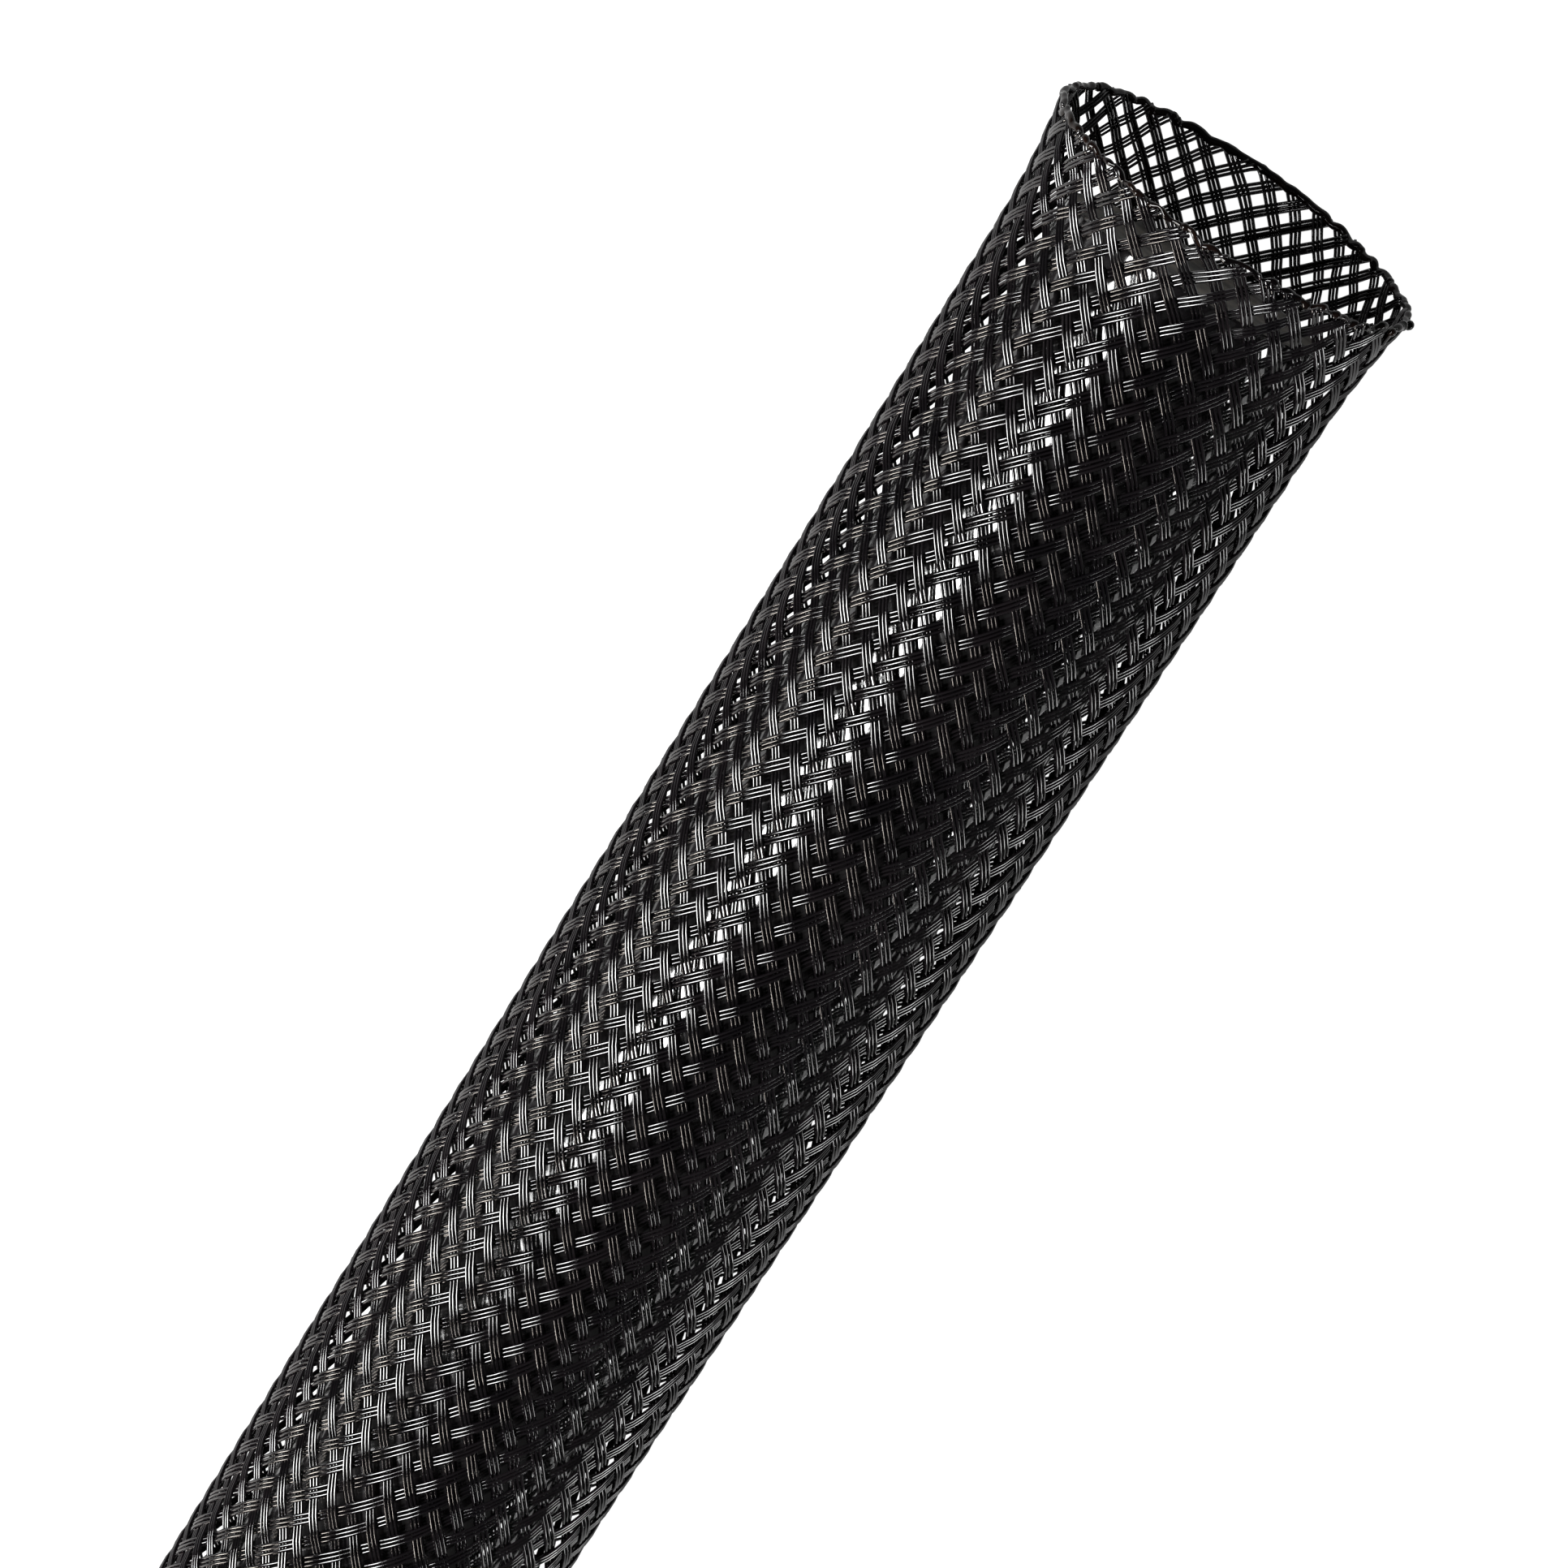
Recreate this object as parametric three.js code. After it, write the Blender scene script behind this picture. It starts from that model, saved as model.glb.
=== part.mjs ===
// Expandable braided cable sleeve, one foot of it, standing open on a round black core rod.
// Millimetres, +Z up. The sleeve lies along X on the plane z = 0, with its open mouth at +X and its tail at -X.
// The braid is one hollow body here: the outer and inner skin that its crossing filaments fill. At both cut
// ends the filaments are melted together into a hard rim, thicker than the braid, and the sleeve lies on these.
import * as THREE from "three";

// Length of the cut piece of stock
const sleeveLength = 305;

// Core rod, and how far its two cut ends stay inside the sleeve
const coreDiameter = 19.05;
const coreInsetMouth = 6;
const coreInsetTail = 5;
const coreCutAngle = 8; // degrees that the mouth end is sawn out of square, its upper edge longer

// Braid: two crossing layers of filament, loose at the sides and close above and below the core
const braidWall = 0.6;
const coreClearance = 0.3;
const bodyWidth = 25.4;

// Both ends flare where the cut lets the braid open
const mouthWidth = 27;
const mouthHeight = 23.7;
const flareLength = 11;

// Hot-cut rims: the filament ends melted into a bead that stands proud of the braid on both sides
const rimWall = 0.9;
const rimProud = 0.15;
const rimLength = 0.7;
const rimChamfer = 0.2;
const rimGap = 0.3;

const facetsRound = 60;
const flareSteps = 6;

// Heights that follow from the core and the walls
const bodyHeight = coreDiameter + 2 * (coreClearance + braidWall);
const coreAxisHeight = rimProud + bodyHeight / 2;
const halfLength = sleeveLength / 2;

const blackFilament = new THREE.MeshStandardMaterial({
  color: 0x0b0b0d,
  roughness: 0.3,
  metalness: 0,
});
const meltedFilament = new THREE.MeshStandardMaterial({
  color: 0x100d0c,
  roughness: 0.2,
  metalness: 0,
});
const blackRod = new THREE.MeshStandardMaterial({
  color: 0x121214,
  roughness: 0.35,
  metalness: 0,
});

// How far open the flare is at a distance from the nearer end: 1 at the rim, 0 on the plain body
function flareAt(fromEnd) {
  const share = THREE.MathUtils.clamp(1 - fromEnd / flareLength, 0, 1);
  return share * share;
}

// Outer oval of the braid at a distance from the nearer end
function ovalAt(fromEnd) {
  const flare = flareAt(fromEnd);
  const halfWidth = THREE.MathUtils.lerp(bodyWidth, mouthWidth, flare) / 2;
  const halfHeight = THREE.MathUtils.lerp(bodyHeight, mouthHeight, flare) / 2;
  return { halfWidth, halfHeight };
}

// Point of the oval at a turn angle from the top, moved in along the oval's normal by depth.
// The braid's underside runs straight along z = rimProud.
function skinPoint(x, angle, depth, target) {
  const { halfWidth, halfHeight } = ovalAt(halfLength - Math.abs(x));
  const normal = new THREE.Vector2(Math.sin(angle) / halfWidth, Math.cos(angle) / halfHeight);
  normal.normalize();
  return target.set(
    x,
    halfWidth * Math.sin(angle) - depth * normal.x,
    rimProud + halfHeight * (1 + Math.cos(angle)) - depth * normal.y,
  );
}

// A closed ring turned from its section, a list of points of x and depth below the braid's outer skin that
// runs along the inside and back along the outside, then pressed to the oval
function ovalRing(section) {
  const turnedRadius = bodyWidth / 2;
  const profile = [...section, section[0]].map(({ x, depth }) => new THREE.Vector2(turnedRadius - depth, x));
  const geometry = new THREE.LatheGeometry(profile, facetsRound, Math.PI / facetsRound);
  const position = geometry.getAttribute("position");
  const point = new THREE.Vector3();
  for (let i = 0; i < position.count; i += 1) {
    point.fromBufferAttribute(position, i);
    const depth = turnedRadius - Math.hypot(point.x, point.z);
    skinPoint(point.y, Math.atan2(point.x, point.z), depth, point);
    position.setXYZ(i, point.x, point.y, point.z);
  }
  geometry.deleteAttribute("normal");
  geometry.deleteAttribute("uv");
  return geometry;
}

// Stations along X where the flare changes the braid's section
function stations() {
  const braidEnd = rimLength + rimGap;
  const flareRun = flareLength - braidEnd;
  const fromEnd = [];
  for (let step = 0; step <= flareSteps; step += 1) {
    fromEnd.push(braidEnd + (flareRun * step) / flareSteps);
  }
  const mouthSide = fromEnd.map((distance) => halfLength - distance).reverse();
  return [...fromEnd.map((distance) => distance - halfLength), ...mouthSide];
}

function makeBraid() {
  const along = stations();
  const inside = along.map((x) => ({ x, depth: braidWall }));
  const outside = along.map((x) => ({ x, depth: 0 })).reverse();
  return ovalRing([...inside, ...outside]);
}

// The rim's section from its lower to its higher end along X, with its corners rounded off by the melting
function makeRim(low) {
  const high = low + rimLength;
  const inner = rimWall - rimProud;
  return ovalRing([
    { x: low + rimChamfer, depth: inner },
    { x: high - rimChamfer, depth: inner },
    { x: high, depth: inner - rimChamfer },
    { x: high, depth: rimChamfer - rimProud },
    { x: high - rimChamfer, depth: -rimProud },
    { x: low + rimChamfer, depth: -rimProud },
    { x: low, depth: rimChamfer - rimProud },
    { x: low, depth: inner - rimChamfer },
  ]);
}

// The three pieces of the sleeve, let down together until the flats under the two rims lie on z = 0
function makeSleeve() {
  const rimMouth = makeRim(halfLength - rimLength);
  const rimTail = makeRim(-halfLength);
  rimMouth.computeBoundingBox();
  const drop = -rimMouth.boundingBox.min.z;
  const pieces = [
    ["braided_sleeve", makeBraid(), blackFilament],
    ["melted_rim_mouth", rimMouth, meltedFilament],
    ["melted_rim_tail", rimTail, meltedFilament],
  ];
  return pieces.map(([name, geometry, material]) => {
    const mesh = new THREE.Mesh(geometry, material);
    mesh.name = name;
    mesh.position.z = drop;
    return mesh;
  });
}

// A plain rod; its mouth end is sawn at a slant, which moves the vertices of that end along the rod
function makeCoreRod() {
  const coreLength = sleeveLength - coreInsetMouth - coreInsetTail;
  const radius = coreDiameter / 2;
  const geometry = new THREE.CylinderGeometry(radius, radius, coreLength, facetsRound);
  geometry.rotateZ(-Math.PI / 2);
  const slant = Math.tan(THREE.MathUtils.degToRad(coreCutAngle));
  const position = geometry.getAttribute("position");
  for (let i = 0; i < position.count; i += 1) {
    const x = position.getX(i);
    if (x > 0) position.setX(i, x + position.getZ(i) * slant);
  }
  geometry.computeVertexNormals();
  const rod = new THREE.Mesh(geometry, blackRod);
  rod.name = "core_rod";
  rod.position.set((coreInsetTail - coreInsetMouth) / 2, 0, coreAxisHeight);
  return rod;
}

const part = new THREE.Group();
part.add(...makeSleeve(), makeCoreRod());

export default part;
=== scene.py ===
import math

import bpy
import numpy as np
from mathutils import Matrix, Vector


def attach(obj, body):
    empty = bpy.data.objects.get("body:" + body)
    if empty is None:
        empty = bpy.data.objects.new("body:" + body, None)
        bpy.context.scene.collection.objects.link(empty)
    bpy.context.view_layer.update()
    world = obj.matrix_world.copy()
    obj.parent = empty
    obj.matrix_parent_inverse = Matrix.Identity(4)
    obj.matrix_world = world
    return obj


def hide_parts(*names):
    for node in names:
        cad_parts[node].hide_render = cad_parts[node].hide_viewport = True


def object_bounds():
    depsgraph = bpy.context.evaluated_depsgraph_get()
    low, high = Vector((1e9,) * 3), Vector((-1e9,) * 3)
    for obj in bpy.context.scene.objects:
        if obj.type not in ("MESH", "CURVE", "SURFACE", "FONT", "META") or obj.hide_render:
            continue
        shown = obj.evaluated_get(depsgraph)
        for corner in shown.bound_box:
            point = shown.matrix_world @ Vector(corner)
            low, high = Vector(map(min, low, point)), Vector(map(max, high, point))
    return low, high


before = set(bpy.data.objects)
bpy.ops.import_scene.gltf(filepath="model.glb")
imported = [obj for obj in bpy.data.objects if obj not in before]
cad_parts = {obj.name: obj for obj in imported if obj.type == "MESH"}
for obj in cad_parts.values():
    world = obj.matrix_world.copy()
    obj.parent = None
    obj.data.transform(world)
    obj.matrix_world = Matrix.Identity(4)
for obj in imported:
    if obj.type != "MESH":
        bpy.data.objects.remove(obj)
cadLow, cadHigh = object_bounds()
bpy.ops.object.select_all(action="DESELECT")
rng = np.random.default_rng(27)
print("frame loaded")

mm = 0.001  # one millimetre in Blender's metres
fullTurn = 2 * math.pi
halfLength = (cadHigh.x - cadLow.x) / 2 / mm

sleeve = {  # millimetres, as the solid is
    "bodyWidth": 25.4,
    "bodyHeight": 20.85,
    "mouthWidth": 27.0,
    "mouthHeight": 23.7,
    "flareLength": 11.0,
    "wall": 0.6,
    "power": 1.8,  # 2 makes the section an ellipse; less makes its sides more pointed, as on the plain body
    "proud": 0.15,  # the melted rims carry the braid this far off the ground
    "cutAngle": 1.7,  # degrees that the mouth is cut out of square, its +Y side longer
    "tableSteps": 8192,  # points that the way round the section is measured at
}


def blend(low, high, share):
    return low + (high - low) * share


# shares of the section's half width and half height at an eccentric angle from the top
def ovalShares(angle, power):
    sine, cosine = np.sin(angle), np.cos(angle)
    return np.sign(sine) * np.abs(sine) ** (2 / power), np.sign(cosine) * np.abs(cosine) ** (2 / power)


# the eccentric angle from the top, against the share of the way round the plain body, and its girth
def ovalTable():
    angle = np.linspace(0.0, fullTurn, sleeve["tableSteps"])
    across, upward = ovalShares(angle, sleeve["power"])
    across = across * (sleeve["bodyWidth"] - sleeve["wall"]) / 2
    upward = upward * (sleeve["bodyHeight"] - sleeve["wall"]) / 2
    way = np.concatenate([[0.0], np.cumsum(np.hypot(np.diff(across), np.diff(upward)))])
    return angle, way / way[-1], way[-1]


ovalAngle, ovalShare, ovalGirth = ovalTable()


# how far the flare is open: 1 at the two cut ends, 0 on the plain body
def flareAt(x):
    return np.clip(1 - (halfLength - np.abs(x)) / sleeve["flareLength"], 0, 1) ** 2


# a point that lies lift off the middle of the wall, and the way out there; turn is the share round from the
# top
def wallPoint(x, turn, lift):
    flare = flareAt(x)
    halfWidth = blend(sleeve["bodyWidth"], sleeve["mouthWidth"], flare) / 2
    halfHeight = blend(sleeve["bodyHeight"], sleeve["mouthHeight"], flare) / 2
    power = blend(sleeve["power"], 2, flare)
    across, upward = ovalShares(np.interp(np.mod(turn, 1.0), ovalShare, ovalAngle), power)
    normalY = np.sign(across) * np.abs(across) ** (power - 1) / halfWidth
    normalZ = np.sign(upward) * np.abs(upward) ** (power - 1) / halfHeight
    size = np.hypot(normalY, normalZ)
    normalY, normalZ = normalY / size, normalZ / size
    inward = sleeve["wall"] / 2 - lift
    y = halfWidth * across - inward * normalY
    z = sleeve["proud"] + halfHeight * (1 + upward) - inward * normalZ
    return np.stack([x, y, z], axis=-1), np.stack([0 * x, normalY, normalZ], axis=-1)


# rings of vertices along a path; thick is the radius on the way out of the wall, wide the radius across it
def tubeRings(points, outward, thick, wide, sides):
    along = np.gradient(points, axis=0)
    along /= np.linalg.norm(along, axis=1, keepdims=True)
    side = np.cross(along, outward)
    side /= np.linalg.norm(side, axis=1, keepdims=True)
    up = np.cross(side, along)
    angle = np.arange(sides) * fullTurn / sides
    raised = (thick * up)[:, None, :] * np.cos(angle)[None, :, None]
    spread = (wide * side)[:, None, :] * np.sin(angle)[None, :, None]
    return points[:, None, :] + raised + spread


# tubes as the vertices and faces of one mesh, each closed by a flat cap at both ends
def joinTubes(tubes, sides):
    vertices, faces, caps = [], [], []
    start = 0
    ring = np.arange(sides)
    for tube in tubes:
        rows = start + np.arange(len(tube) - 1)[:, None] * sides
        here, beside = rows + ring[None, :], rows + (ring[None, :] + 1) % sides
        faces.append(np.stack([here, beside, beside + sides, here + sides], axis=-1).reshape(-1, 4))
        last = start + (len(tube) - 1) * sides
        caps += [list(start + ring[::-1]), list(last + ring)]
        vertices.append(tube.reshape(-1, 3))
        start += len(tube) * sides
    return np.concatenate(vertices), np.concatenate(faces), caps


def tubePiece(name, tubes, sides, material):
    vertices, faces, caps = joinTubes(tubes, sides)
    mesh = bpy.data.meshes.new(name)
    loops = np.concatenate([faces.reshape(-1), np.array(caps).reshape(-1)]).astype(np.int32)
    sizes = np.concatenate([np.full(len(faces), 4), np.full(len(caps), sides)])
    mesh.vertices.add(len(vertices))
    mesh.vertices.foreach_set("co", (vertices * mm).astype(np.float32).reshape(-1))
    mesh.loops.add(len(loops))
    mesh.loops.foreach_set("vertex_index", loops)
    mesh.polygons.add(len(sizes))
    mesh.polygons.foreach_set("loop_start", (np.cumsum(sizes) - sizes).astype(np.int32))
    mesh.polygons.foreach_set("use_smooth", np.ones(len(sizes), dtype=bool))
    mesh.update(calc_edges=True)
    mesh.validate()
    mesh.materials.append(material)
    piece = bpy.data.objects.new(name, mesh)
    bpy.context.collection.objects.link(piece)
    print(name, len(tubes), "tubes", len(vertices), "vertices")
    return piece


def addNode(tree, kind, inputs=None, **settings):
    node = tree.nodes.new(kind)
    for key, value in settings.items():
        setattr(node, key, value)
    for key, value in (inputs or {}).items():
        if isinstance(value, bpy.types.NodeSocket):
            tree.links.new(value, node.inputs[key])
        else:
            node.inputs[key].default_value = value
    return node


def useGroup(tree, group, inputs=None):
    return addNode(tree, "ShaderNodeGroup", inputs, node_tree=group)


# a group with named inputs and outputs, for an effect that several finishes share
def nodeGroup(name, inputs, outputs):
    group = bpy.data.node_groups.new(name, "ShaderNodeTree")
    for label, kind, value in inputs:
        socket = group.interface.new_socket(label, in_out="INPUT", socket_type=kind)
        if value is not None:
            socket.default_value = value
    for label, kind in outputs:
        group.interface.new_socket(label, in_out="OUTPUT", socket_type=kind)
    return group, group.nodes.new("NodeGroupInput"), group.nodes.new("NodeGroupOutput")


# a colour that wanders between two shades
def makeMottle():
    inputs = (
        ("Vector", "NodeSocketVector", None),
        ("Dark", "NodeSocketColor", (0.006, 0.005, 0.006, 1)),
        ("Light", "NodeSocketColor", (0.014, 0.012, 0.013, 1)),
        ("Scale", "NodeSocketFloat", 300.0),
        ("Detail", "NodeSocketFloat", 3.0),
        ("From", "NodeSocketFloat", 0.35),
        ("To", "NodeSocketFloat", 0.65),
    )
    outputs = (("Color", "NodeSocketColor"), ("Value", "NodeSocketFloat"))
    group, source, sink = nodeGroup("mottle", inputs, outputs)
    cloud = addNode(group, "ShaderNodeTexNoise", {
        "Vector": source.outputs["Vector"], "Scale": source.outputs["Scale"],
        "Detail": source.outputs["Detail"]})
    share = addNode(group, "ShaderNodeMapRange", {
        "Value": cloud.outputs["Fac"], "From Min": source.outputs["From"], "From Max": source.outputs["To"]})
    mix = addNode(group, "ShaderNodeMix", {  # inputs 6 and 7 and output 2 are its colours
        0: share.outputs["Result"], 6: source.outputs["Dark"], 7: source.outputs["Light"]}, data_type="RGBA")
    group.links.new(mix.outputs[2], sink.inputs["Color"])
    group.links.new(share.outputs["Result"], sink.inputs["Value"])
    return group


# fine straight scratches that run at a slant round a bar along X
def makeScratches():
    inputs = (
        ("Slant", "NodeSocketFloat", 0.7),
        ("Axis Height", "NodeSocketFloat", 0.010575),
        ("Radius", "NodeSocketFloat", 0.009525),
        ("Fineness", "NodeSocketFloat", 3000.0),
        ("Stretch", "NodeSocketFloat", 60.0),
        ("Amount", "NodeSocketFloat", 0.6),
    )
    group, source, sink = nodeGroup("scratches", inputs, (("Mask", "NodeSocketFloat"),))
    coords = addNode(group, "ShaderNodeTexCoord")
    split = addNode(group, "ShaderNodeSeparateXYZ", {"Vector": coords.outputs["Object"]})
    height = addNode(group, "ShaderNodeMath", {
        0: split.outputs["Z"], 1: source.outputs["Axis Height"]}, operation="SUBTRACT")
    turn = addNode(group, "ShaderNodeMath", {
        0: split.outputs["Y"], 1: height.outputs[0]}, operation="ARCTAN2")
    girth = addNode(group, "ShaderNodeMath", {
        0: turn.outputs[0], 1: source.outputs["Radius"]}, operation="MULTIPLY")
    flat = addNode(group, "ShaderNodeCombineXYZ", {"X": split.outputs["X"], "Y": girth.outputs[0]})
    turned = addNode(group, "ShaderNodeVectorRotate", {
        "Vector": flat.outputs[0], "Angle": source.outputs["Slant"]}, rotation_type="Z_AXIS")
    narrow = addNode(group, "ShaderNodeMath", {
        0: source.outputs["Fineness"], 1: source.outputs["Stretch"]}, operation="DIVIDE")
    sizes = addNode(group, "ShaderNodeCombineXYZ", {
        "X": narrow.outputs[0], "Y": source.outputs["Fineness"]})
    spread = addNode(group, "ShaderNodeVectorMath", {
        0: turned.outputs[0], 1: sizes.outputs[0]}, operation="MULTIPLY")
    streaks = addNode(group, "ShaderNodeTexNoise", {
        "Vector": spread.outputs[0], "Scale": 1.0, "Detail": 2.0})
    lines = addNode(group, "ShaderNodeMapRange", {
        "Value": streaks.outputs["Fac"], "From Min": 0.55, "From Max": 0.72,
        "To Max": source.outputs["Amount"]})
    group.links.new(lines.outputs["Result"], sink.inputs["Mask"])
    return group


mottle = makeMottle()
scratches = makeScratches()


def newMaterial(name):
    material = bpy.data.materials.new(name)
    material.use_nodes = True
    return material, material.node_tree, material.node_tree.nodes["Principled BSDF"]


# the mottle on Object coordinates, as the shader's base colour
def mottledColour(tree, shader, values):
    coords = addNode(tree, "ShaderNodeTexCoord")
    shade = useGroup(tree, mottle, {"Vector": coords.outputs["Object"], **values})
    tree.links.new(shade.outputs["Color"], shader.inputs["Base Color"])
    return shade


filamentLook = {
    "ior": 1.58,
    "roughness": (0.05, 0.11),  # of the dark and the light shade
    "mottle": {
        "Scale": 240.0, "Detail": 2.0,
        "Dark": (0.0014, 0.0011, 0.0015, 1), "Light": (0.0042, 0.0032, 0.0038, 1)},
}


def filamentMaterial():
    material, tree, shader = newMaterial("black_filament")
    shade = mottledColour(tree, shader, filamentLook["mottle"])
    smooth, rough = filamentLook["roughness"]
    gloss = addNode(tree, "ShaderNodeMapRange", {
        "Value": shade.outputs["Value"], "To Min": smooth, "To Max": rough})
    tree.links.new(gloss.outputs["Result"], shader.inputs["Roughness"])
    shader.inputs["IOR"].default_value = filamentLook["ior"]
    return material


meltLook = {
    "ior": 1.45,
    "specular": 0.25,
    "roughness": 0.05,
    "bump": {"Strength": 0.04, "Distance": 0.0001},
    "mottle": {
        "Scale": 420.0, "Detail": 4.0, "From": 0.45, "To": 0.75,
        "Dark": (0.0008, 0.0006, 0.0007, 1), "Light": (0.009, 0.0045, 0.003, 1)},
}


def meltMaterial():
    material, tree, shader = newMaterial("melted_filament")
    shade = mottledColour(tree, shader, meltLook["mottle"])
    shader.inputs["Roughness"].default_value = meltLook["roughness"]
    shader.inputs["IOR"].default_value = meltLook["ior"]
    shader.inputs["Specular IOR Level"].default_value = meltLook["specular"]
    bump = addNode(tree, "ShaderNodeBump", {"Height": shade.outputs["Value"], **meltLook["bump"]})
    tree.links.new(bump.outputs["Normal"], shader.inputs["Normal"])
    return material


coreLook = {
    "ior": 1.8,
    "roughness": 0.08,  # where nothing has scratched it
    "bump": {"Strength": 0.06, "Distance": 0.00001},
    "rising": {"Slant": 0.65, "Amount": 0.2},
    "falling": {"Slant": -0.85, "Fineness": 2600.0, "Amount": 0.15},
    "mottle": {
        "Scale": 160.0, "Detail": 5.0,
        "Dark": (0.005, 0.0045, 0.005, 1), "Light": (0.011, 0.01, 0.0105, 1)},
}


def coreMaterial():
    material, tree, shader = newMaterial("black_core")
    mottledColour(tree, shader, coreLook["mottle"])
    shader.inputs["IOR"].default_value = coreLook["ior"]
    rising = useGroup(tree, scratches, coreLook["rising"])
    falling = useGroup(tree, scratches, coreLook["falling"])
    both = addNode(tree, "ShaderNodeMath", {0: rising.outputs[0], 1: falling.outputs[0]}, operation="ADD")
    scuffed = addNode(tree, "ShaderNodeMath", {0: both.outputs[0], 1: coreLook["roughness"]}, operation="ADD")
    tree.links.new(scuffed.outputs[0], shader.inputs["Roughness"])
    bump = addNode(tree, "ShaderNodeBump", {"Height": both.outputs[0], **coreLook["bump"]}, invert=True)
    tree.links.new(bump.outputs["Normal"], shader.inputs["Normal"])
    return material


sawnLook = {
    "specular": 0.2,
    "roughness": 0.5,
    "sawMarks": {"Scale": 260.0, "Distortion": 3.0, "Detail": 2.0},
    "bump": {"Strength": 0.3, "Distance": 0.0001},
    "mottle": {
        "Scale": 360.0, "Detail": 8.0, "From": 0.4, "To": 0.66,
        "Dark": (0.013, 0.012, 0.0095, 1), "Light": (0.1, 0.088, 0.068, 1)},
}


def sawnMaterial():
    material, tree, shader = newMaterial("sawn_end")
    mottledColour(tree, shader, sawnLook["mottle"])
    shader.inputs["Specular IOR Level"].default_value = sawnLook["specular"]
    shader.inputs["Roughness"].default_value = sawnLook["roughness"]
    coords = addNode(tree, "ShaderNodeTexCoord")
    marks = addNode(tree, "ShaderNodeTexWave", {
        "Vector": coords.outputs["Object"], **sawnLook["sawMarks"]}, bands_direction="DIAGONAL")
    bump = addNode(tree, "ShaderNodeBump", {"Height": marks.outputs["Fac"], **sawnLook["bump"]})
    tree.links.new(bump.outputs["Normal"], shader.inputs["Normal"])
    return material


filamentFinish = filamentMaterial()
meltFinish = meltMaterial()
coreFinish = coreMaterial()
sawnFinish = sawnMaterial()
print("finishes made")

braid = {
    "strandsEachWay": 36,
    "filamentsPerStrand": 3,
    "filamentRadius": 0.127,
    "filamentSpacing": 0.28,
    "sides": 4,
    "stepsPerCycle": 8,
    "shortestStep": 0.35,  # share of a step that is kept free before a cut end
    "bite": 0.05,  # how far a filament's end reaches past the middle of the melted rim
    "pitch": 88.5,  # axial length of one full turn of a strand
    "evenUpTo": 40.0,  # from the tail to here the winding stays even
    "loosest": 97.0,  # where along the sleeve the strands run flattest; they wind tighter to both sides
    "tighter": (0.0006, 0.0011),  # how much, towards the tail and towards the mouth
    "crimp": 0.155,  # how far a filament rises and dips from the middle of the wall
    "turnShift": 0.134,  # turns the whole braid round the sleeve, in strands
    "farTurn": 0.3,  # turns it further on the underside, in strands
    "axialShift": -0.45,  # slides the braid's pattern along the sleeve
    "wander": 0.05,  # how far a strand strays sideways
    "wanderLengths": (14.0, 54.0),  # shortest and longest of its three waves
    "jitter": 0.012,  # how far each filament strays by itself
    "jitterLengths": (9.0, 36.0),
    "jitterWaves": 4,
    "groups": 3,  # pieces that the strands of each way are shared out over
}


# a few random waves along the sleeve, for one filament
def jitter(x):
    total = np.zeros_like(x)
    for _ in range(braid["jitterWaves"]):
        length = blend(*braid["jitterLengths"], rng.random())
        total += np.sin(fullTurn * (x / length + rng.random()))
    return total * braid["jitter"] / math.sqrt(braid["jitterWaves"] / 2)


# turns that a strand has made at a place along the sleeve
def windAt(x):
    off = np.maximum(x, braid["evenUpTo"]) - braid["loosest"]
    extra = np.where(off < 0, braid["tighter"][0], braid["tighter"][1]) * off ** 2
    return (x - braid["axialShift"] + extra) / braid["pitch"]


rim = {  # where the cut ends are melted together; far is at the underside, near at the top
    "reach": 0.34,  # from the sleeve's very end back to the middle of the melted edge
    "seeds": {1: 3.1, -1: 11.7},  # at the mouth and at the tail
    "scallop": 0.28,  # how deep the edge dips between two strands
    "scallopSteady": 0.55,  # the share of that which is the same all round
    "scallopWaves": 5,
    "scallopShift": 0.35,  # how far the dips wander, in strands
    "shiftWaves": 3,
    "raggedFar": 0.12,
    "raggedNear": 0.5,
    "raggedWaves": (13, 23, 37, 58),
    "raggedThickness": 0.12,
    "radiusFar": 0.29,
    "radiusNear": 0.16,
    "lumpsFar": 0.05,
    "lumpsNear": 0.2,
    "lumpWaves": 53,
    "liftWaves": ((0.06, 17), (0.05, 29)),  # how far the edge leaves the wall, and how often round
    "stepsRound": 900,
    "fewestSteps": 24,
    "sides": 12,
    "spare": 0.02,  # a thick place stays this far inside the sleeve's end
    "blunt": 0.02,  # keeps the very tip of an arc from closing to a point
    "beads": 34,
    "beadRadius": 0.34,
    "beadSizes": (0.75, 1.1),  # smallest and largest, as shares of that
    "breaks": {1: ((0.786, 0.803), (0.838, 0.846)), -1: ((0.31, 0.318),)},  # where the edge has come apart
}


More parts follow.
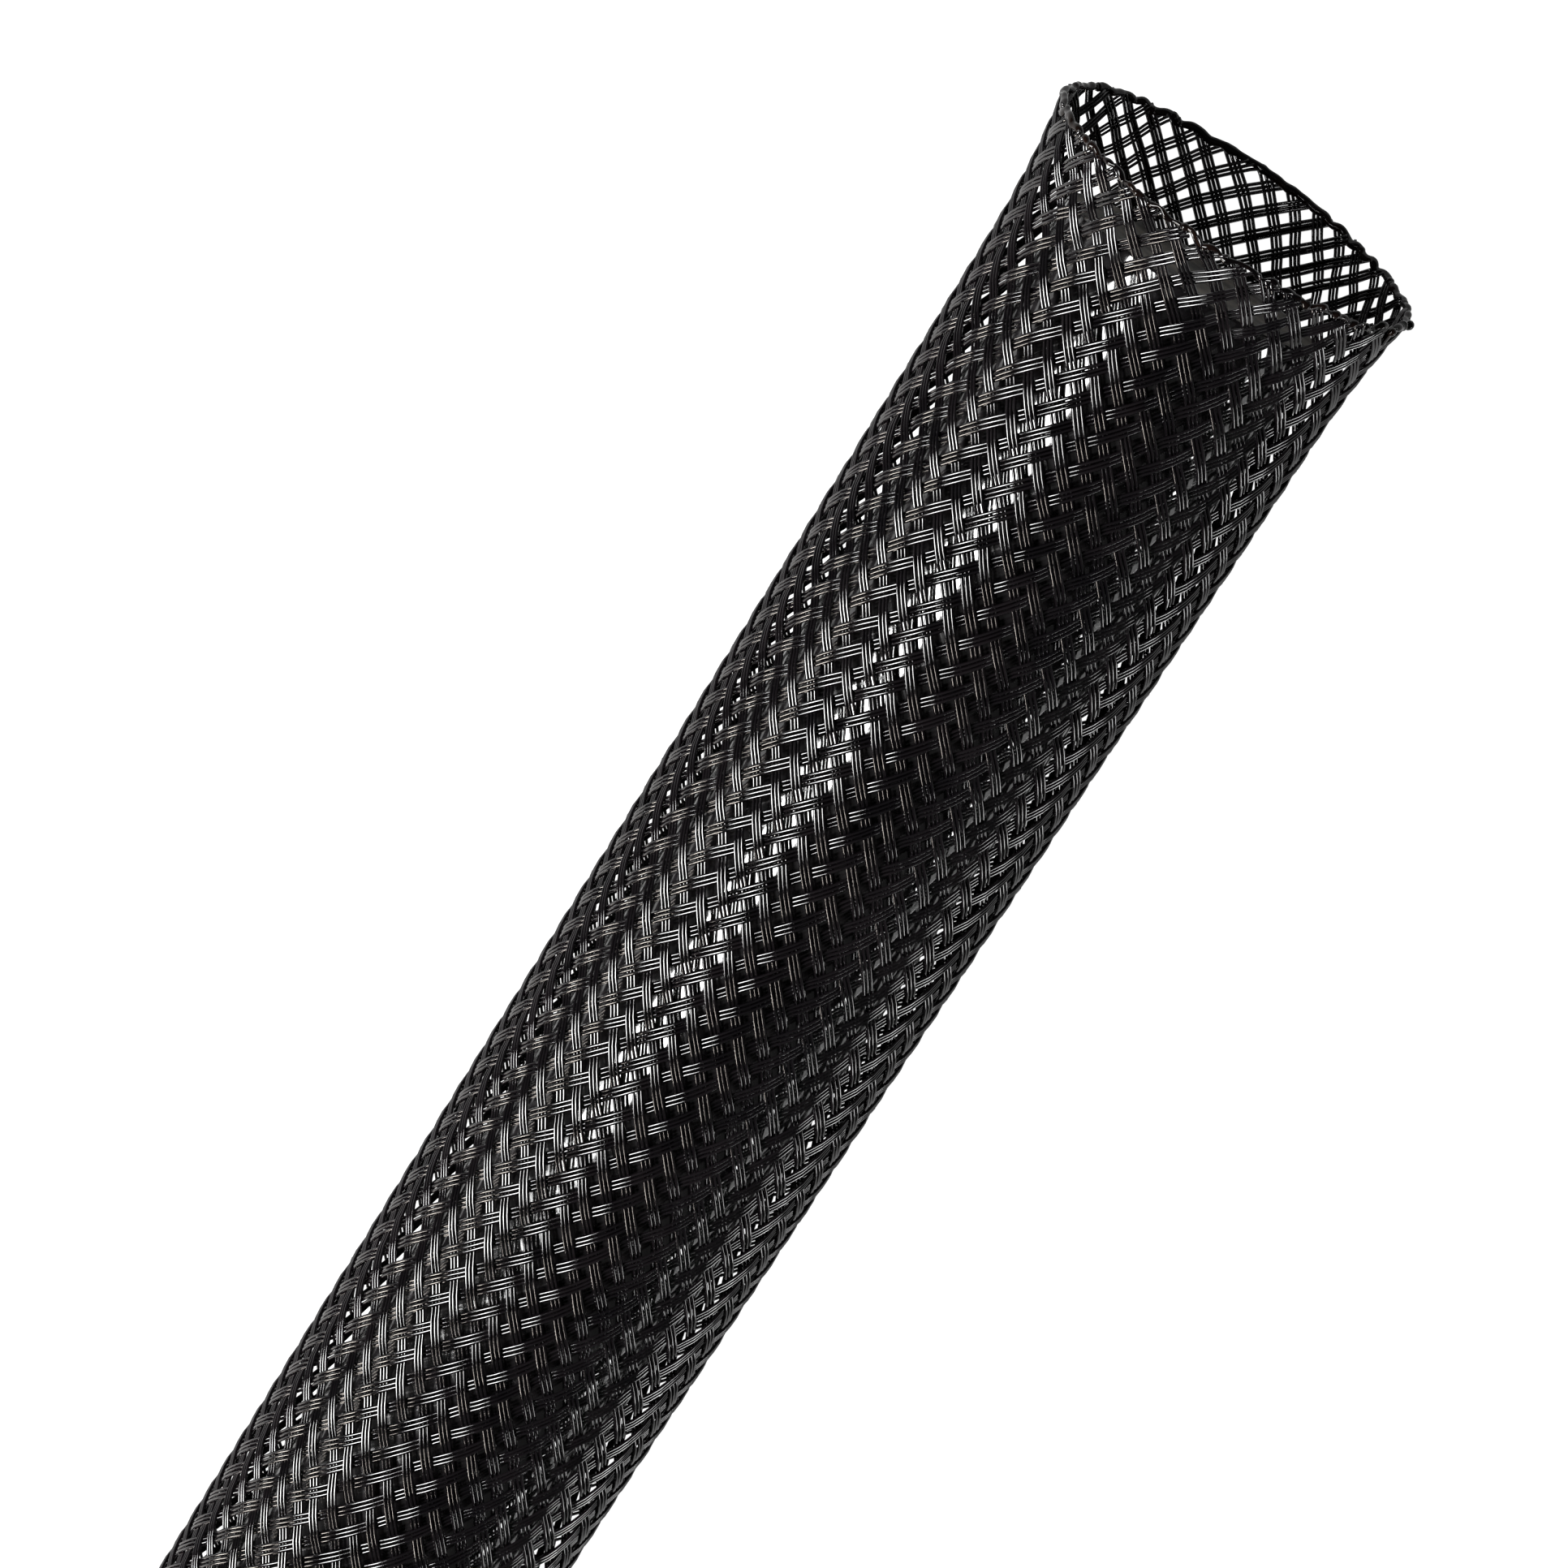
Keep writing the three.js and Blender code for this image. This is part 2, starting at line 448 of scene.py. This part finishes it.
# the melted edge: where it runs along X, and how thick it is, all round one end
def rimLine(turn, side):
    count, seed = braid["strandsEachWay"], rim["seeds"][side]
    near = 0.5 + 0.5 * np.cos(fullTurn * turn)  # 1 at the top, 0 at the underside
    shift = rim["scallopShift"] * np.sin(fullTurn * (rim["shiftWaves"] * turn + seed))
    ripple = 0.5 - 0.5 * np.cos(fullTurn * (count * turn + shift))
    change = np.sin(fullTurn * (rim["scallopWaves"] * turn + seed))
    notch = rim["scallop"] * blend(change, 1, rim["scallopSteady"]) * ripple
    ragged = sum(np.sin(fullTurn * (waves * turn + seed * waves)) for waves in rim["raggedWaves"]) / 3
    notch = notch + (0.5 + 0.5 * ragged) * blend(rim["raggedFar"], rim["raggedNear"], near)
    lumps = np.sin(fullTurn * (2 * count * turn + seed)) + np.sin(fullTurn * (rim["lumpWaves"] * turn + seed))
    lumps = blend(rim["lumpsFar"], rim["lumpsNear"], near) * lumps + rim["raggedThickness"] * ragged
    radius = blend(rim["radiusFar"], rim["radiusNear"], near) * (1 + lumps)
    if side > 0:
        lean = math.tan(math.radians(sleeve["cutAngle"])) * sleeve["mouthWidth"] / 2
        notch = notch - lean * np.sin(fullTurn * turn)
    return side * (halfLength - rim["reach"] - notch), radius


# way is +1 for strands that turn towards +Y on their way to the mouth, and -1 for the others
def filamentTube(strand, offset, way, strandDrift):
    count, pitch = braid["strandsEachWay"], braid["pitch"]
    widen = math.hypot(1, ovalGirth / pitch)  # a step square to the strand is this much longer round
    cycle = 2 * pitch / count  # over two strands and under two
    start = strand / count + offset * braid["filamentSpacing"] * widen / ovalGirth
    ends = [rimLine(start + way * windAt(side * halfLength), side)[0] for side in (-1, 1)]
    ends = [ends[0] - braid["bite"], ends[1] + braid["bite"]]

    # steps that meet the highest and lowest places of the wave
    step = cycle / braid["stepsPerCycle"]
    firstPhase = math.pi / 2 * (strand + start * count + 2 * way * windAt(0.0) * count - 0.5)
    lead = -(way * firstPhase / fullTurn * cycle) % step
    x = np.arange(-int(halfLength / step) - 2, int(halfLength / step) + 3) * step + lead
    x = x[(x > ends[0] + step * braid["shortestStep"]) & (x < ends[1] - step * braid["shortestStep"])]
    x = np.concatenate([[ends[0]], x, [ends[1]]])

    turn = start + way * windAt(x)
    crossing = (turn + way * windAt(x)) * count
    wave = np.cos(math.pi / 2 * (strand + crossing - 0.5))
    lift = way * braid["crimp"] * wave * (1.5 - 0.5 * wave ** 2)  # flat where it lies over or under others
    drift = (strandDrift(x) + jitter(x)) * widen / ovalGirth
    onward = braid["turnShift"] + braid["farTurn"] * (0.5 - 0.5 * np.cos(fullTurn * turn))
    points, outward = wallPoint(x, turn + onward / count + drift, lift)
    return tubeRings(points, outward, braid["filamentRadius"], braid["filamentRadius"], braid["sides"])


# the slow sideways drift that the filaments of one strand share
def makeStrandDrift():
    phases = rng.random(3)
    lengths = blend(*braid["wanderLengths"], rng.random(3))

    def strandDrift(x):
        waves = (np.sin(fullTurn * (x / length + phase)) for length, phase in zip(lengths, phases))
        return braid["wander"] * sum(waves)

    return strandDrift


def makeStrands(way, wayName):
    groups = [[] for _ in range(braid["groups"])]
    middle = (braid["filamentsPerStrand"] - 1) / 2
    for strand in range(braid["strandsEachWay"]):
        strandDrift = makeStrandDrift()
        for filament in range(braid["filamentsPerStrand"]):
            tube = filamentTube(strand, filament - middle, way, strandDrift)
            groups[strand % braid["groups"]].append(tube)
    for index, tubes in enumerate(groups):
        piece = tubePiece(f"strands_{wayName}_{index + 1}", tubes, braid["sides"], filamentFinish)
        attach(piece, "root")
        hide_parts("braided_sleeve")


makeStrands(1, "right")
makeStrands(-1, "left")

tab = {  # where the mouth's edge has fused into a tab at its +Y corner
    "from": 0.168,  # in turns from the top
    "to": 0.252,
    "radius": 0.34,
    "flatter": 0.45,
    "margin": 0.02,  # no bead comes this close
    "wobble": 0.15,
    "wobbleWaves": 14,
}


# the melted edge from one break to the next, with its beads
def rimArc(first, last, side):
    turn = np.linspace(first, last, max(rim["fewestSteps"], int(rim["stepsRound"] * (last - first))))
    x, radius = rimLine(turn, side)
    squash = np.ones_like(turn)
    lift = sum(size * np.sin(fullTurn * waves * turn) for size, waves in rim["liftWaves"])
    beadCount = max(2, round(rim["beads"] * (last - first)))
    beadTurns = first + (last - first) * np.sort(rng.random(beadCount))
    if side > 0:
        low, high = tab["from"] - tab["margin"], tab["to"] + tab["margin"]
        beadTurns = [beadTurn for beadTurn in beadTurns if not low < beadTurn % 1 < high]
    for beadTurn in beadTurns:
        near = np.exp(-(((turn - beadTurn) * ovalGirth / rim["beadRadius"]) ** 2))
        radius = np.maximum(radius, near * rim["beadRadius"] * blend(*rim["beadSizes"], rng.random()))
    if side > 0:
        middle, half = (tab["from"] + tab["to"]) / 2, (tab["to"] - tab["from"]) / 2
        near = np.clip(1 - ((turn - middle) / half) ** 2, 0, 1)
        wobble = 1 - tab["wobble"] + tab["wobble"] * np.sin(fullTurn * tab["wobbleWaves"] * turn)
        radius = radius + (tab["radius"] - rim["radiusNear"]) * near * wobble
        squash = 1 - tab["flatter"] * near
    distance = np.minimum(turn - first, last - turn) * ovalGirth
    dome = np.sqrt(np.clip(1 - (1 - np.clip(distance / radius, 0, 1)) ** 2, rim["blunt"], 1))
    back = np.maximum(radius - rim["reach"] + rim["spare"], 0)
    points, outward = wallPoint(x - side * back, turn, lift)
    wide = (radius * dome)[:, None]
    return tubeRings(points, outward, wide * squash[:, None], wide, rim["sides"])


stray = {  # filaments that have come loose from the mouth's edge, each with a melted ball on its tip
    "ends": (
        {"turn": 0.752, "standOut": 0.35, "ball": 0.34},
        {"turn": 0.795, "standOut": 0.2, "ball": 0.28},
    ),
    "steps": 26,
    "root": 1.6,  # how far back from the edge it leaves the wall
    "past": 0.1,  # how far its tip lies past the edge
    "lean": 0.012,  # how far it leans sideways, in turns
    "lift": 0.1,
    "thicker": 1.2,  # than the other filaments
    "rootTaper": 0.3,
    "tipRadius": 0.02,
}


def strayEnd(turn, standOut, ball, side):
    share = np.linspace(0, 1, stray["steps"])
    edge, _ = rimLine(np.array(turn), side)
    x = edge + side * (stray["past"] - stray["root"] * (1 - share))
    points, outward = wallPoint(x, turn - stray["lean"] * (1 - share), stray["lift"] + 0 * share)
    points = points + outward * (standOut * share ** 2)[:, None]
    fromTip = (1 - share) * (stray["root"] + standOut)
    radius = np.full(stray["steps"], braid["filamentRadius"] * stray["thicker"])
    inBall = fromTip < 2 * ball
    roundness = np.sqrt(np.clip(ball ** 2 - (fromTip[inBall] - ball) ** 2, 0, None))
    radius[inBall] = np.maximum(radius[inBall], roundness)
    radius[0] *= stray["rootTaper"]
    radius[-1] = stray["tipRadius"]
    return tubeRings(points, outward, radius[:, None], radius[:, None], rim["sides"])


def makeRim(name, side):
    breaks = rim["breaks"][side]
    tubes = []
    first = breaks[-1][1]
    for low, high in breaks:
        tubes.append(rimArc(first if first < low else first - 1, low, side))
        first = high
    if side > 0:
        tubes += [strayEnd(side=side, **end) for end in stray["ends"]]
    piece = tubePiece(name, tubes, rim["sides"], meltFinish)
    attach(piece, "root")
    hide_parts("melted_rim_mouth" if side > 0 else "melted_rim_tail")


makeRim("melted_edge_mouth", 1)
makeRim("melted_edge_tail", -1)

coreBar = {
    "diameter": 19.05,
    "insetMouth": 6.0,
    "insetTail": 5.0,
    "cutAngle": 8.0,  # degrees that the sawn mouth end leans
    "axisHeight": 10.575,
    "sides": 160,
    "edge": 0.25,  # how far the sawn edges are rounded
    "edgeSteps": 2,
    "edgeAngle": 50,  # degrees that faces must meet at for that
    "smoothAngle": 12,
}


def makeCore():
    length = 2 * halfLength - coreBar["insetMouth"] - coreBar["insetTail"]
    bpy.ops.mesh.primitive_cylinder_add(
        vertices=coreBar["sides"], radius=coreBar["diameter"] / 2 * mm, depth=length * mm, location=(0, 0, 0))
    piece = bpy.context.object
    piece.name = "core_bar"
    middle = (coreBar["insetTail"] - coreBar["insetMouth"]) / 2
    lay = Matrix.Rotation(math.radians(90), 4, "Y")
    piece.data.transform(Matrix.Translation(Vector((middle, 0, coreBar["axisHeight"])) * mm) @ lay)
    slant = math.tan(math.radians(coreBar["cutAngle"]))
    for vertex in piece.data.vertices:
        if vertex.co.x > 0:
            vertex.co.x += slant * (vertex.co.z - coreBar["axisHeight"] * mm)
    bevel = piece.modifiers.new("edges", "BEVEL")
    bevel.width = coreBar["edge"] * mm
    bevel.segments = coreBar["edgeSteps"]
    bevel.limit_method = "ANGLE"
    bevel.angle_limit = math.radians(coreBar["edgeAngle"])
    bpy.ops.object.modifier_apply(modifier="edges")
    bpy.ops.object.shade_smooth_by_angle(angle=math.radians(coreBar["smoothAngle"]))
    piece.data.materials.append(coreFinish)
    piece.data.materials.append(sawnFinish)
    for face in piece.data.polygons:
        if abs(face.normal.x) > 0.9:  # the two sawn ends
            face.material_index = 1
    piece.select_set(False)
    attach(piece, "root")
    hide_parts("core_rod")
    print("core_bar", len(piece.data.vertices), "vertices")


makeCore()

view = {
    "focalPixels": 6580.0,
    "imagePixels": 1932.0,
    "axisLean": 32.38,  # degrees that the sleeve leans to the right of upright in the image
    "tilt": 22.2,  # degrees that the view line leans from square-on towards the mouth
    "aimPixel": (1032.0, 1020.5),  # where the image shows the point that the camera aims by
    "aimFromMouth": 52.2,
    "aimHeight": 10.575,
    "scaleAtAim": 0.0551,  # millimetres a pixel
    "sensorWidth": 36.0,
    "clip": (0.01, 20),
}


# links an object that stands at a spot with its X, Y and Z along right, up and back
def addFacing(name, data, right, up, back, spot):
    thing = bpy.data.objects.new(name, data)
    bpy.context.collection.objects.link(thing)
    rows = [(right[axis], up[axis], back[axis], spot[axis]) for axis in range(3)]
    thing.matrix_world = Matrix((*rows, (0, 0, 0, 1)))
    return thing


def makeCamera():
    tilt, lean = math.radians(view["tilt"]), math.radians(view["axisLean"])
    back = Vector((math.sin(tilt), 0, math.cos(tilt)))
    along = Vector((math.cos(tilt), 0, -math.sin(tilt)))
    across = Vector((0, -1, 0))
    right = math.sin(lean) * along + math.cos(lean) * across
    up = math.cos(lean) * along - math.sin(lean) * across
    distance = view["focalPixels"] * view["scaleAtAim"]
    middle = view["imagePixels"] / 2
    offX = (view["aimPixel"][0] - middle) * view["scaleAtAim"]
    offY = (middle - view["aimPixel"][1]) * view["scaleAtAim"]
    aim = Vector((halfLength - view["aimFromMouth"], 0, view["aimHeight"]))
    spot = (aim - right * offX - up * offY + back * distance) * mm
    data = bpy.data.cameras.new("camera")
    data.sensor_width = view["sensorWidth"]
    data.lens = view["focalPixels"] / view["imagePixels"] * data.sensor_width
    data.clip_start, data.clip_end = view["clip"]
    bpy.context.scene.camera = addFacing("camera", data, right, up, back, spot)


makeCamera()
print("camera placed")

ground = {
    "size": 4,
    "grey": 0.08,
    "roughness": 0.6,
    "glow": 1.0,
    "glowForSleeve": 0.45,  # the photo's white ground hardly shows in the black filaments
}


def makeFloor():
    bpy.ops.mesh.primitive_plane_add(size=ground["size"], location=(0, 0, 0))
    floor = bpy.context.object
    floor.name = "floor"
    material, tree, shader = newMaterial("pale_floor")
    shader.inputs["Base Color"].default_value = (ground["grey"], ground["grey"], ground["grey"], 1)
    shader.inputs["Roughness"].default_value = ground["roughness"]
    shader.inputs["Emission Color"].default_value = (1, 1, 1, 1)
    seen = addNode(tree, "ShaderNodeLightPath")
    glow = addNode(tree, "ShaderNodeMapRange", {
        "Value": seen.outputs["Is Camera Ray"], "To Min": ground["glowForSleeve"], "To Max": ground["glow"]})
    tree.links.new(glow.outputs["Result"], shader.inputs["Emission Strength"])
    floor.data.materials.append(material)


makeFloor()
print("floor laid")


# a direction square to the sleeve, that many degrees from the view towards +Y
def sideways(degrees):
    tilt, turn = math.radians(view["tilt"]), math.radians(degrees)
    return (-math.sin(tilt), math.cos(tilt) * math.sin(turn), math.cos(tilt) * math.cos(turn))


studio = {  # metres and watts
    "lampDistance": 0.9,
    "worldGrey": 0.8,
    "worldStrength": 0.09,
    "lamps": {  # their width is across the sleeve, their length along it, and they slide towards the mouth
        "key": {"from": sideways(37), "width": 0.43, "length": 0.4, "power": 24, "slide": 0.2},
        "edge": {"from": sideways(-86), "width": 0.2, "length": 0.5, "power": 4.5, "slide": 0.1},
        "low": {
            "from": (-0.78, 0.48, 0.38), "width": 0.27, "length": 0.27, "power": 7.5,
            "tint": (1.0, 0.92, 0.83)},
    },
}


# a rectangle of light that faces the sleeve
def softbox(name, lamp):
    data = bpy.data.lights.new(name, "AREA")
    data.shape = "RECTANGLE"
    data.size, data.size_y = lamp["width"], lamp["length"]
    data.energy = lamp["power"]
    data.color = lamp.get("tint", (1, 1, 1))
    back = Vector(lamp["from"]).normalized()
    long = Vector((1, 0, 0))
    long = (long - back * long.dot(back)).normalized()
    spot = back * studio["lampDistance"] + long * lamp.get("slide", 0.0)
    addFacing(name, data, long.cross(back), long, back, spot)


for lampName, lamp in studio["lamps"].items():
    softbox(lampName, lamp)

world = bpy.data.worlds.new("studio")
world.use_nodes = True
background = world.node_tree.nodes["Background"]
background.inputs["Color"].default_value = (studio["worldGrey"], studio["worldGrey"], studio["worldGrey"], 1)
background.inputs["Strength"].default_value = studio["worldStrength"]
bpy.context.scene.world = world
bpy.context.scene.view_settings.view_transform = "Standard"
print("lamps placed")

print("cad", [round(v / mm, 2) for v in (*cadLow, *cadHigh)])
